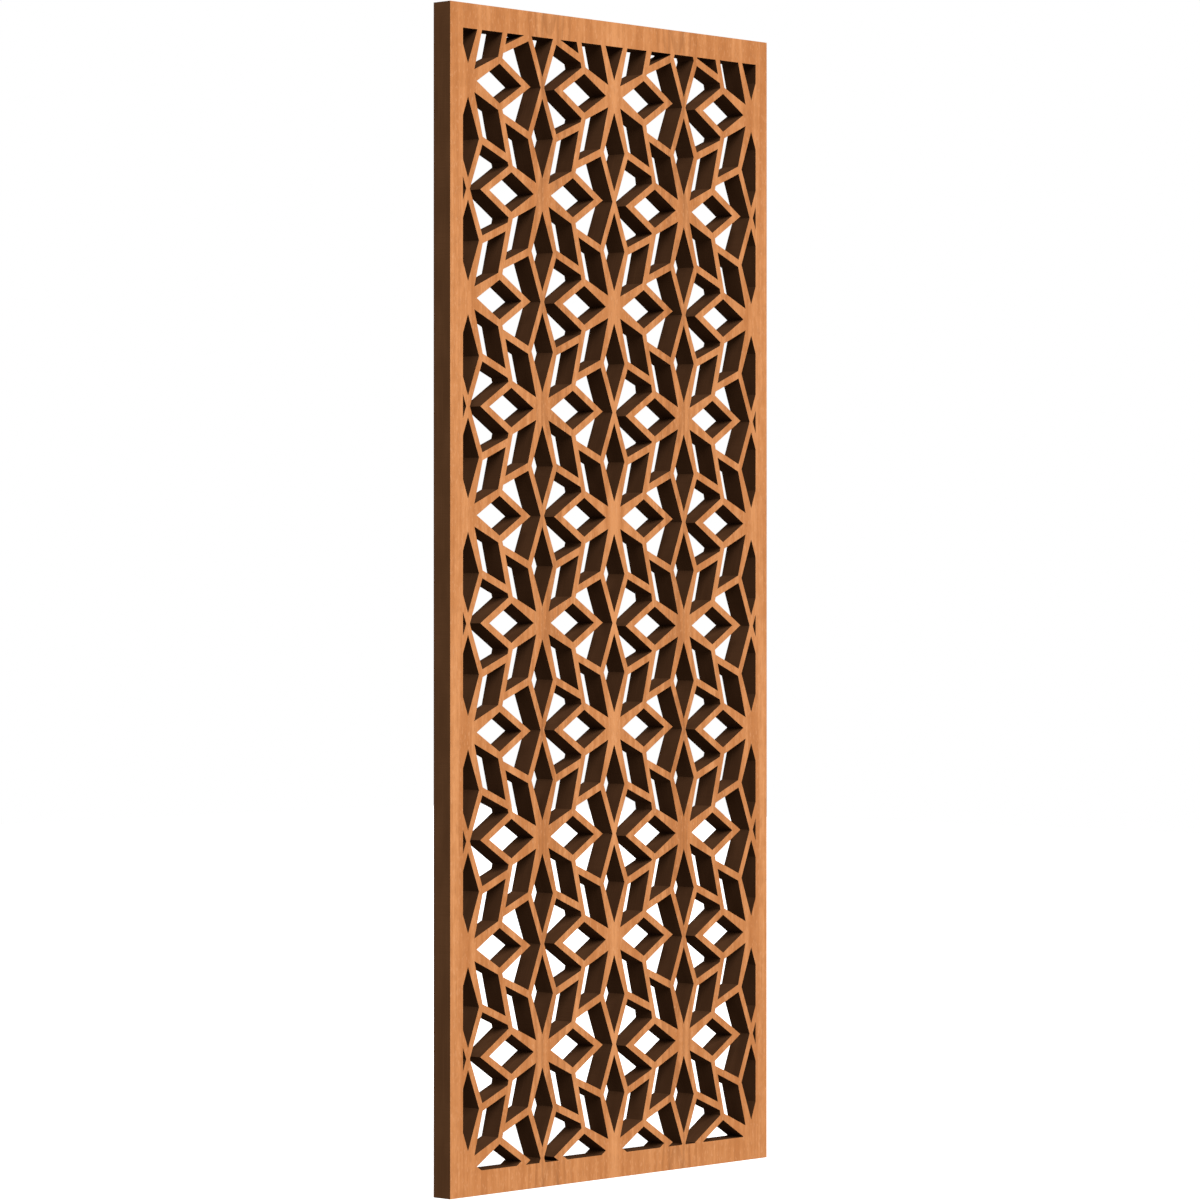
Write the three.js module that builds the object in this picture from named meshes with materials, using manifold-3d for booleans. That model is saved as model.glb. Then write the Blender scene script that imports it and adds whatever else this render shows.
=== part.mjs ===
// Mashrabiya screen panel: one flat board cut right through with a lattice of eight-petalled stars.
// Millimetres. X runs across the width, Z is up, the face looks towards -Y.
// The back lies in the plane y = 0 and the origin is on it, at the middle of the bottom rail.

import * as THREE from 'three';
import { mergeVertices } from 'three/addons/utils/BufferGeometryUtils.js';
import Module from 'manifold-3d';

// Board.
const PANEL_HEIGHT = 1500;
const PANEL_THICKNESS = 29;
const BOTTOM_RAIL = 31.3;
const TOP_RAIL = 31.6;
const STILE = 22.9;

// Lattice: stars and crossings take turns along every column and along every row.
const COLUMNS = 5;
const STEP = 136.68;
const FIRST_ROW = 36.6;
const FIELD_MARGIN = 9.25;

// The columns on the right are cut a little lower than the others, so the pattern steps there,
// and every second column is a hair higher than half a repeat.
const LEVEL_COLUMNS = 3;
const DROP = 4.5;
const LIFT = 0.7;

// Openings round a star centre, as distances across and up from it.
const PETAL = { near: 20.8, far: 123.1, waist: 72.8, half: 20 };
const DIAMOND = { near: 15.9, far: 97.9, waist: 57.4, half: 25.25 };
const LEAF = { heel: [11.4, 14.3], shoulder: [26.7, 69.5], tip: [68.7, 87.1], elbow: [54.9, 33.7] };

// Arrowhead openings beside a crossing, as distances outward and up from it.
const ARROW = { apex: 3.2, barb: [26, 57.4], corner: [72.5, 38.2], end: [74, 32.5], notch: 22.3 };

// The cutters run this far past both faces.
const OVERCUT = 2;

const wood = new THREE.MeshStandardMaterial({ color: 0xb5672f, roughness: 0.5, metalness: 0 });

const wasm = await Module();
wasm.setup();

const fieldHalf = ((COLUMNS - 1) / 2) * STEP + FIELD_MARGIN;
const panelHalf = fieldHalf + STILE;
const bottomEdge = -BOTTOM_RAIL / 2;
const topEdge = bottomEdge + PANEL_HEIGHT;
const fieldBottom = bottomEdge + BOTTOM_RAIL;
const fieldTop = topEdge - TOP_RAIL;
const rows = Math.ceil(PANEL_HEIGHT / STEP) + 1;

function columnX(column) {
  return (column - (COLUMNS - 1) / 2) * STEP;
}

function rowZ(column, row) {
  const drop = column < LEVEL_COLUMNS ? 0 : DROP;
  const lift = column % 2 === 0 ? 0 : LIFT;
  return bottomEdge + FIRST_ROW + row * STEP - drop + lift;
}

// A closed outline in the X-Z plane, carried back along Y from y = front to y = front + depth.
function slab(points, front, depth) {
  const shape = new THREE.Shape(points.map(([x, z]) => new THREE.Vector2(x, z)));
  const geometry = new THREE.ExtrudeGeometry(shape, { depth, bevelEnabled: false });
  geometry.rotateX(Math.PI / 2);
  geometry.translate(0, front + depth, 0);
  return solid(geometry);
}

function solid(geometry) {
  geometry.deleteAttribute('normal');
  geometry.deleteAttribute('uv');
  const merged = mergeVertices(geometry);
  const mesh = new wasm.Mesh({
    numProp: 3,
    vertProperties: Float32Array.from(merged.attributes.position.array),
    triVerts: Uint32Array.from(merged.index.array),
  });
  return new wasm.Manifold(mesh);
}

function rectangle(left, right, bottom, top) {
  return [[left, bottom], [right, bottom], [right, top], [left, top]];
}

function cutter(points) {
  return slab(points, -PANEL_THICKNESS - OVERCUT, PANEL_THICKNESS + 2 * OVERCUT);
}

function starOpenings(x, z) {
  const outlines = [];
  for (const side of [-1, 1]) {
    outlines.push([
      [x, z + side * PETAL.near],
      [x + PETAL.half, z + side * PETAL.waist],
      [x, z + side * PETAL.far],
      [x - PETAL.half, z + side * PETAL.waist],
    ]);
    outlines.push([
      [x + side * DIAMOND.near, z],
      [x + side * DIAMOND.waist, z + DIAMOND.half],
      [x + side * DIAMOND.far, z],
      [x + side * DIAMOND.waist, z - DIAMOND.half],
    ]);
    for (const rise of [-1, 1]) {
      const corners = [LEAF.heel, LEAF.shoulder, LEAF.tip, LEAF.elbow];
      outlines.push(corners.map(([across, up]) => [x + side * across, z + rise * up]));
    }
  }
  return outlines;
}

// The far end of an arrowhead follows the neighbouring column, the rest follows the crossing.
function arrowOpening(x, z, side, neighbourZ) {
  const upper = [
    [x + side * ARROW.barb[0], z + ARROW.barb[1]],
    [x + side * ARROW.corner[0], z + ARROW.corner[1]],
    [x + side * ARROW.end[0], neighbourZ + ARROW.end[1]],
  ];
  const lower = [
    [x + side * ARROW.end[0], neighbourZ - ARROW.end[1]],
    [x + side * ARROW.corner[0], z - ARROW.corner[1]],
    [x + side * ARROW.barb[0], z - ARROW.barb[1]],
  ];
  return [[x + side * ARROW.apex, z], ...upper, [x + side * ARROW.notch, neighbourZ], ...lower];
}

function latticeOutlines() {
  const outlines = [];
  for (let column = 0; column < COLUMNS; column += 1) {
    for (let row = 0; row < rows; row += 1) {
      const x = columnX(column);
      const z = rowZ(column, row);
      if ((column + row) % 2 === 0) {
        outlines.push(...starOpenings(x, z));
      } else {
        for (const side of [-1, 1]) {
          const neighbour = Math.min(Math.max(column + side, 0), COLUMNS - 1);
          outlines.push(arrowOpening(x, z, side, rowZ(neighbour, row)));
        }
      }
    }
  }
  return outlines;
}

// Keeps the outlines that reach into the field between the rails and stiles.
function reachesField(points) {
  const xs = points.map(([x]) => x);
  const zs = points.map(([, z]) => z);
  const across = Math.min(...xs) < fieldHalf && Math.max(...xs) > -fieldHalf;
  const upright = Math.min(...zs) < fieldTop && Math.max(...zs) > fieldBottom;
  return across && upright;
}

function panel() {
  const board = slab(
    rectangle(-panelHalf, panelHalf, bottomEdge, topEdge),
    -PANEL_THICKNESS,
    PANEL_THICKNESS,
  );
  const field = cutter(rectangle(-fieldHalf, fieldHalf, fieldBottom, fieldTop));
  const openings = latticeOutlines()
    .filter(reachesField)
    .map(cutter)
    .reduce((joined, opening) => joined.add(opening));
  return board.subtract(openings.intersect(field));
}

function toMesh(body, name, material) {
  const source = body.getMesh();
  const geometry = new THREE.BufferGeometry();
  geometry.setAttribute('position', new THREE.BufferAttribute(source.vertProperties, 3));
  geometry.setIndex(new THREE.BufferAttribute(source.triVerts, 1));
  geometry.computeVertexNormals();
  const mesh = new THREE.Mesh(geometry, material);
  mesh.name = name;
  return mesh;
}

const group = new THREE.Group();
group.name = 'mashrabiya_screen';
group.add(toMesh(panel(), 'screen_panel', wood));

export default group;
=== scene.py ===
"""A mashrabiya screen panel: a cherry-faced board cut right through with a lattice of stars."""

import math

import bmesh
import bpy
from mathutils import Matrix, Vector


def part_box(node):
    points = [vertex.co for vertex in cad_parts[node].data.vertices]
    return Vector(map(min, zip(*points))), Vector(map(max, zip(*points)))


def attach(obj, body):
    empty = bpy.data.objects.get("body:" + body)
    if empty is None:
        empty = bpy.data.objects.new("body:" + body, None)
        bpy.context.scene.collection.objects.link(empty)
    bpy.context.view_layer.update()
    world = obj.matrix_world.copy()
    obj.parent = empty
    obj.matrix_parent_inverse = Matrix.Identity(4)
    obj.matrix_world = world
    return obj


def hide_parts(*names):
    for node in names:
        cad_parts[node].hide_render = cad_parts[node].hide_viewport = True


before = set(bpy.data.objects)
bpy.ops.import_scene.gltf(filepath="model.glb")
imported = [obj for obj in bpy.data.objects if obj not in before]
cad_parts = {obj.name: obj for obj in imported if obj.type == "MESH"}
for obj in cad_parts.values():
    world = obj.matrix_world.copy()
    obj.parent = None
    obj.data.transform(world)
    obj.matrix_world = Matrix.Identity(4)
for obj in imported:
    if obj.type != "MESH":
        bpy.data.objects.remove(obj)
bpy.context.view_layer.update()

# ---------------------------------------------------------------- the board, in metres

PANEL_NODE = "screen_panel"

LOWEST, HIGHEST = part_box(PANEL_NODE)
LEFT_X, FRONT_Y, BOTTOM_Z = LOWEST
RIGHT_X, _, TOP_Z = HIGHEST
MIDDLE = (LOWEST + HIGHEST) / 2

MERGE_DISTANCE = 1e-5
FLAT_ANGLE = math.radians(0.5)
ARRIS_ANGLE = math.radians(30)
ARRIS_EASE = 0.0004
ARRIS_STEPS = 2
EDGE_REACH = 0.001

# How far a face's normal points along the thickness: all the way on the front and the back,
# not at all on the edges and the opening walls, and something between on the eased arrises.
SQUARE_TO_THICKNESS = 0.99
ALONG_THICKNESS = 0.05

FRONT_FINISH, BACK_FINISH, EDGE_FINISH, WALL_FINISH = range(4)

# ---------------------------------------------------------------- the finishes

# The leaves of veneer are book-matched: each is turned over beside the last, so that the figure
# meets at the joint, give or take a small slip. Every second joint lies in paler wood. The front
# has such a joint at its middle, the back has its own off the middle.
LEAF_WIDTH = 0.244
LEAF_SLIP = 0.004
PALE_JOINT = 0.016
BACK_SHIFT = 0.090
BACK_SEED = 40.0
BACK_FIGURE = 0.8

# The tree's heart lies behind the middle of a leaf and swings towards and away from it on the
# way up, which draws the growth rings as arches. A dark line runs up either side of it.
RING_WIDTH = 0.0105
HEART_DEPTH = 0.024
HEART_SWING = 0.013
HEART_WAVE = 2 * math.pi / 0.587
LEAN_ASIDE = 0.020
LEAN_DEEPER = 0.012
HEARTWOOD_INNER = 0.018
HEARTWOOD_OUTER = 0.060
HEART_LINE_ASIDE = 0.0145
HEART_LINE_HALF = 0.0040
LINE_WANDER = 0.006

GRAIN_RELIEF = 0.00008
CUT_RELIEF = 0.00010
EDGE_MATT = 0.62
WALL_MATT = 0.78

CHERRY = {
    "pale": (0.800, 0.347, 0.132),
    "deep": (0.592, 0.215, 0.063),
    "amber": (0.543, 0.194, 0.056),
    "light": (0.834, 0.406, 0.188),
    "russet": (0.466, 0.158, 0.036),
    "brown": (0.296, 0.108, 0.033),
}
EDGE_TONES = {
    "body": (0.138, 0.0610, 0.0262),
    "deep": (0.112, 0.0490, 0.0208),
    "worn": (0.170, 0.0770, 0.0335),
}
# The opening walls take the edge's stain made darker. The extra darkness is painted shade: the shade
# inside the openings is put into their colour.
WALL_TONES_WITH_PAINTED_SHADE = {
    "body": (0.080, 0.0350, 0.0158),
    "deep": (0.062, 0.0266, 0.0120),
    "worn": (0.102, 0.0450, 0.0200),
}

# ---------------------------------------------------------------- the studio

VIEW_TURN = math.radians(47.63)
SENSOR_WIDTH = 36.0
LENS = 143.07
NEAR_EDGE_AHEAD = 5.9668
NEAR_EDGE_ASIDE = -0.1874
FARTHEST_SEEN = 100.0

FLOOR_HALF = 8.0
FLOOR_GAP = 0.0003
FLOOR_PALE = (0.93, 0.93, 0.93)
FLOOR_PALER = (0.95, 0.95, 0.95)
FLOOR_GLOW = 0.70

WHITE = (1.0, 1.0, 1.0)
ROOM_LIGHT = 0.32
SOFTBOX_SIZE = 26.0
FRONT_PLACE = (-11.6, -30.9, 28.2)
FRONT_POWER = 21800.0
BACK_PLACE = (11.6, 30.9, 28.2)
BACK_POWER = 6000.0

# ---------------------------------------------------------------- shader helpers


class Socket:
    """A shader value that can be written in a Python expression."""

    def __init__(self, shader, link):
        self.shader = shader
        self.link = link

    def _math(self, operation, *values):
        return self.shader.node("ShaderNodeMath", {"operation": operation}, dict(enumerate(values)))

    def __add__(self, other):
        return self._math("ADD", self, other)

    def __radd__(self, other):
        return self._math("ADD", other, self)

    def __sub__(self, other):
        return self._math("SUBTRACT", self, other)

    def __rsub__(self, other):
        return self._math("SUBTRACT", other, self)

    def __mul__(self, other):
        return self._math("MULTIPLY", self, other)

    def __rmul__(self, other):
        return self._math("MULTIPLY", other, self)

    def __truediv__(self, other):
        return self._math("DIVIDE", self, other)

    def __pow__(self, other):
        return self._math("POWER", self, other)

    def absolute(self):
        return self._math("ABSOLUTE", self)

    def sine(self):
        return self._math("SINE", self)

    def fraction(self):
        return self._math("FRACT", self)

    def to_and_fro(self, width):
        return self._math("PINGPONG", self, width)


class Shader:
    """The node tree of one material or of the world."""

    def __init__(self, owner):
        owner.use_nodes = True
        self.owner = owner
        self.tree = owner.node_tree
        self.tree.nodes.clear()

    def node(self, kind, settings, inputs, out=0):
        """Adds a node, sets it, then fills its inputs. A tuple is a colour."""
        node = self.tree.nodes.new(kind)
        for key, value in settings.items():
            setattr(node, key, value)
        for place, value in inputs.items():
            if isinstance(value, Socket):
                self.tree.links.new(value.link, node.inputs[place])
            else:
                plain = (*value, 1.0) if isinstance(value, tuple) else value
                node.inputs[place].default_value = plain
        return None if out is None else Socket(self, node.outputs[out])

    def place(self):
        """Where a point is on the panel, in metres."""
        return self.node("ShaderNodeTexCoord", {}, {}, out="Object")

    def split(self, vector):
        return [
            self.node("ShaderNodeSeparateXYZ", {}, {"Vector": vector}, out=axis) for axis in "XYZ"
        ]

    def join(self, x, y, z):
        return self.node("ShaderNodeCombineXYZ", {}, {"X": x, "Y": y, "Z": z})

    def noise(self, vector, scale=1.0, detail=2.0, roughness=0.5):
        inputs = {"Vector": vector, "Scale": scale, "Detail": detail, "Roughness": roughness}
        return self.node("ShaderNodeTexNoise", {"noise_dimensions": "3D"}, inputs)

    def ramp(self, value, low, high):
        """Rises smoothly from 0 where the value is low to 1 where it is high."""
        settings = {"interpolation_type": "SMOOTHSTEP", "clamp": True}
        return self.node("ShaderNodeMapRange", settings, {0: value, 1: low, 2: high})

    def blend(self, factor, first, second):
        """Goes from the first colour to the second."""
        inputs = {0: factor, 6: first, 7: second}
        return self.node("ShaderNodeMix", {"data_type": "RGBA"}, inputs, out=2)

    def finish(self, colour, roughness, height, relief, **constants):
        """Closes the tree with a surface that has the colour, roughness and relief."""
        relief_inputs = {"Strength": 1.0, "Distance": relief, "Height": height}
        inputs = {name.replace("_", " "): value for name, value in constants.items()}
        inputs["Base Color"] = colour
        inputs["Roughness"] = roughness
        inputs["Normal"] = self.node("ShaderNodeBump", {}, relief_inputs)
        surface = self.node("ShaderNodeBsdfPrincipled", {}, inputs)
        self.node("ShaderNodeOutputMaterial", {}, {"Surface": surface}, out=None)
        return self.owner


# ---------------------------------------------------------------- finishes


def cherry_veneer(name, shift, seed, strength):
    """Satin cherry in book-matched leaves, each with straight grain beside arches round its heart."""
    s = Shader(bpy.data.materials.new(name))
    x, y, z = s.split(s.place())
    place = x - MIDDLE.x + shift
    leaves = place / LEAF_WIDTH
    joint = place.to_and_fro(LEAF_WIDTH)
    aside = joint - LEAF_WIDTH / 2
    up = z + (leaves - leaves.fraction()) * LEAF_SLIP

    # The grain leans slowly from side to side as it climbs.
    lean = s.noise(s.join(aside * 3.0, seed, up * 1.3)) - 0.5
    drift = aside + lean * LEAN_ASIDE

    def figure(across, along, start, detail=2.0, roughness=0.5):
        """Noise with so many cells to a metre across the grain and along it."""
        point = s.join(drift * across, seed + start, up * along)
        return s.noise(point, detail=detail, roughness=roughness)

    # Growth rings, cut lengthways: arches near the heart, lines further out.
    depth = HEART_DEPTH + (up * HEART_WAVE).sine() * HEART_SWING + lean * LEAN_DEEPER
    radius = (drift * drift + depth * depth) ** 0.5
    unrest = figure(across=14.0, along=2.2, start=1.0) * 0.9
    ring = (radius / RING_WIDTH + unrest).fraction()
    late_wood = s.ramp(ring, 0.45, 0.93) * (1.0 - s.ramp(ring, 0.93, 1.0))
    heartwood = s.ramp(drift.absolute(), HEARTWOOD_OUTER, HEARTWOOD_INNER)

    # The two dark lines beside the heart, and the paler wood at the joint.
    from_line = ((aside + lean * LINE_WANDER).absolute() - HEART_LINE_ASIDE).absolute()
    heart_line = s.ramp(from_line, HEART_LINE_HALF, 0.0)
    pale_joint = s.ramp(joint, PALE_JOINT, 0.0)

    # Streaks of four widths, all longer than wide, and a faint mottle.
    tone = figure(across=22.0, along=0.8, start=3.0, roughness=0.55)
    band = figure(across=46.0, along=1.5, start=5.0, roughness=0.55)
    streak = figure(across=170.0, along=2.6, start=7.0, detail=3.0, roughness=0.62)
    fine = figure(across=760.0, along=11.0, start=9.0, roughness=0.6)
    mottle = figure(across=90.0, along=38.0, start=11.0, detail=3.0, roughness=0.6)

    # Short dark pores, and paler flecks across them.
    pore_noise = s.noise(s.join(drift * 2100.0, y * 900.0, up * 65.0), detail=1.0)
    fleck_noise = s.noise(s.join(drift * 380.0, y * 300.0, up * 150.0), detail=1.0)
    pore = s.ramp(pore_noise, 0.60, 0.72)
    fleck = s.ramp(fleck_noise, 0.58, 0.72)

    warmth = s.ramp(tone, 0.34, 0.66) * 0.36 + s.ramp(streak, 0.40, 0.62) * 0.34 + 0.15
    colour = s.blend(warmth, CHERRY["deep"], CHERRY["pale"])

    # What lies over the plain wood: where, how strongly at most, and in which tone.
    for where, most, stain in (
        (s.ramp(band, 0.44, 0.62), 0.75, "amber"),
        (s.ramp(mottle, 0.40, 0.64), 0.30 * strength, "russet"),
        (s.ramp(fine, 0.42, 0.66), 0.22 * strength, "russet"),
        (late_wood * (0.06 + heartwood * 0.26), strength, "brown"),
        (heart_line * (0.20 + streak * 0.30), strength, "brown"),
        (pale_joint, 0.50, "pale"),
        (pore, 0.30 * strength, "brown"),
        (fleck, 0.30, "light"),
    ):
        colour = s.blend(where * most, colour, CHERRY[stain])

    roughness = 0.44 + fine * 0.10 + pore * 0.12 - late_wood * 0.03
    height = fine * 0.5 + streak * 0.3 - pore * 0.9
    return s.finish(colour, roughness, height, GRAIN_RELIEF, IOR=1.45, Specular_IOR_Level=0.35)


def stained_wood(name, tones, matt):
    """Dark brown stain on cut wood, with the fine marks that the cutter left across the thickness.
    With the opening walls' tones it is darker still, as painted shade.
    """
    s = Shader(bpy.data.materials.new(name))
    x, y, z = s.split(s.place())
    marks = s.noise(s.join(x * 620.0, y * 14.0, z * 620.0), roughness=0.6)
    layers = s.noise(s.join(x * 9.0, y * 620.0, z * 9.0), roughness=0.55)
    cloud = s.noise(s.join(x * 26.0, y * 30.0, z * 12.0), detail=3.0, roughness=0.55)

    colour = s.blend(s.ramp(cloud, 0.32, 0.68), tones["deep"], tones["body"])
    colour = s.blend(s.ramp(marks, 0.44, 0.72) * 0.40, colour, tones["deep"])
    colour = s.blend(s.ramp(layers, 0.52, 0.78) * 0.35, colour, tones["worn"])

    roughness = matt + marks * 0.14
    height = marks * 0.7 + layers * 0.4
    return s.finish(colour, roughness, height, CUT_RELIEF, IOR=1.45, Specular_IOR_Level=0.0)


# ---------------------------------------------------------------- the panel


def build_panel():
    """A clean copy of the board with its flat faces whole and its arrises eased."""
    board = bmesh.new()
    board.from_mesh(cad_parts[PANEL_NODE].data)
    bmesh.ops.remove_doubles(board, verts=board.verts, dist=MERGE_DISTANCE)
    bmesh.ops.dissolve_limit(
        board, angle_limit=FLAT_ANGLE, verts=board.verts, edges=board.edges,
    )
    board.normal_update()

    bmesh.ops.bevel(
        board,
        geom=[edge for edge in board.edges if is_arris(edge)],
        offset=ARRIS_EASE,
        offset_type="OFFSET",
        affect="EDGES",
        segments=ARRIS_STEPS,
        profile=0.5,
        material=-1,
        clamp_overlap=True,
    )
    board.normal_update()

    for face in board.faces:
        face.smooth = False
        face.material_index = finish_of(face)
    return board


def is_arris(edge):
    """True for an edge where the front or the back turns into an outer edge or an opening wall."""
    turns = edge.calc_face_angle(0.0) > ARRIS_ANGLE
    return turns and any(abs(face.normal.y) > SQUARE_TO_THICKNESS for face in edge.link_faces)


def finish_of(face):
    """Which finish a face takes: an arris takes the one of the front or back that it belongs to."""
    if abs(face.normal.y) > ALONG_THICKNESS:
        return FRONT_FINISH if face.normal.y < 0 else BACK_FINISH
    centre = face.calc_center_median()
    outer_x = min(centre.x - LEFT_X, RIGHT_X - centre.x) < EDGE_REACH
    outer_z = min(centre.z - BOTTOM_Z, TOP_Z - centre.z) < EDGE_REACH
    return EDGE_FINISH if outer_x or outer_z else WALL_FINISH


def add_piece(name, shape, materials):
    """Turns a bmesh into a finished object that sits at the origin."""
    mesh = bpy.data.meshes.new(name)
    shape.to_mesh(mesh)
    shape.free()
    for material in materials:
        mesh.materials.append(material)
    piece = bpy.data.objects.new(name, mesh)
    bpy.context.scene.collection.objects.link(piece)
    return piece


# The materials come in the order of the finishes: front, back, outer edge, opening wall.
panel = add_piece("carved_screen_panel", build_panel(), [
    cherry_veneer("cherry_front", shift=0.0, seed=0.0, strength=1.0),
    cherry_veneer("cherry_back", BACK_SHIFT, BACK_SEED, BACK_FIGURE),
    stained_wood("stained_outer_edge", EDGE_TONES, EDGE_MATT),
    # The opening walls' darker tones are painted shade for the insides of the openings.
    stained_wood("stained_opening_wall_painted_shade", WALL_TONES_WITH_PAINTED_SHADE, WALL_MATT),
])
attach(panel, "root")
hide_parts(PANEL_NODE)

# ---------------------------------------------------------------- studio


def add_floor():
    """A wide pale floor just under the panel's bottom edge, which lights nothing itself."""
    shape = bmesh.new()
    level = Matrix.Translation((MIDDLE.x, MIDDLE.y, BOTTOM_Z - FLOOR_GAP))
    bmesh.ops.create_grid(shape, x_segments=1, y_segments=1, size=FLOOR_HALF, matrix=level)
    s = Shader(bpy.data.materials.new("pale_floor"))
    cloud = s.noise(s.place(), scale=3.0)
    material = s.finish(
        colour=s.blend(cloud, FLOOR_PALE, FLOOR_PALER),
        roughness=cloud * 0.05 + 0.85,
        height=cloud,
        relief=0.0,
        Specular_IOR_Level=0.1,
        Emission_Color=WHITE,
        Emission_Strength=FLOOR_GLOW,
    )
    floor = add_piece("studio_floor", shape, [material])
    floor.visible_diffuse = False
    floor.visible_glossy = False


def add_world():
    """A white room that is seen at full strength and lights the panel more gently."""
    s = Shader(bpy.data.worlds.new("studio_white"))
    seen = s.node("ShaderNodeLightPath", {}, {}, out="Is Camera Ray")
    strength = seen * (1.0 - ROOM_LIGHT) + ROOM_LIGHT
    background = s.node("ShaderNodeBackground", {}, {"Color": WHITE, "Strength": strength})
    s.node("ShaderNodeOutputWorld", {}, {"Surface": background}, out=None)
    bpy.context.scene.world = s.owner


def add_softbox(name, place, power):
    """A large square light aimed at the middle of the panel."""
    light = bpy.data.lights.new(name, "AREA")
    light.size = SOFTBOX_SIZE
    light.energy = power
    lamp = bpy.data.objects.new(name, light)
    lamp.location = place
    lamp.rotation_euler = (MIDDLE - Vector(place)).to_track_quat("-Z", "Y").to_euler()
    bpy.context.scene.collection.objects.link(lamp)


def add_camera():
    """A level camera at half the panel's height, in front of it and well to the left."""
    right = Vector((math.cos(VIEW_TURN), -math.sin(VIEW_TURN), 0.0))
    ahead = Vector((math.sin(VIEW_TURN), math.cos(VIEW_TURN), 0.0))
    near_edge = Vector((LEFT_X, FRONT_Y, MIDDLE.z))
    camera = bpy.data.cameras.new("studio_camera")
    camera.sensor_width = SENSOR_WIDTH
    camera.lens = LENS
    camera.clip_end = FARTHEST_SEEN
    holder = bpy.data.objects.new("studio_camera", camera)
    holder.location = near_edge - right * NEAR_EDGE_ASIDE - ahead * NEAR_EDGE_AHEAD
    holder.rotation_euler = ahead.to_track_quat("-Z", "Y").to_euler()
    bpy.context.scene.collection.objects.link(holder)
    bpy.context.scene.camera = holder


add_floor()
add_world()
add_softbox("front_softbox", FRONT_PLACE, FRONT_POWER)
add_softbox("back_softbox", BACK_PLACE, BACK_POWER)
add_camera()
bpy.context.scene.view_settings.view_transform = "Standard"
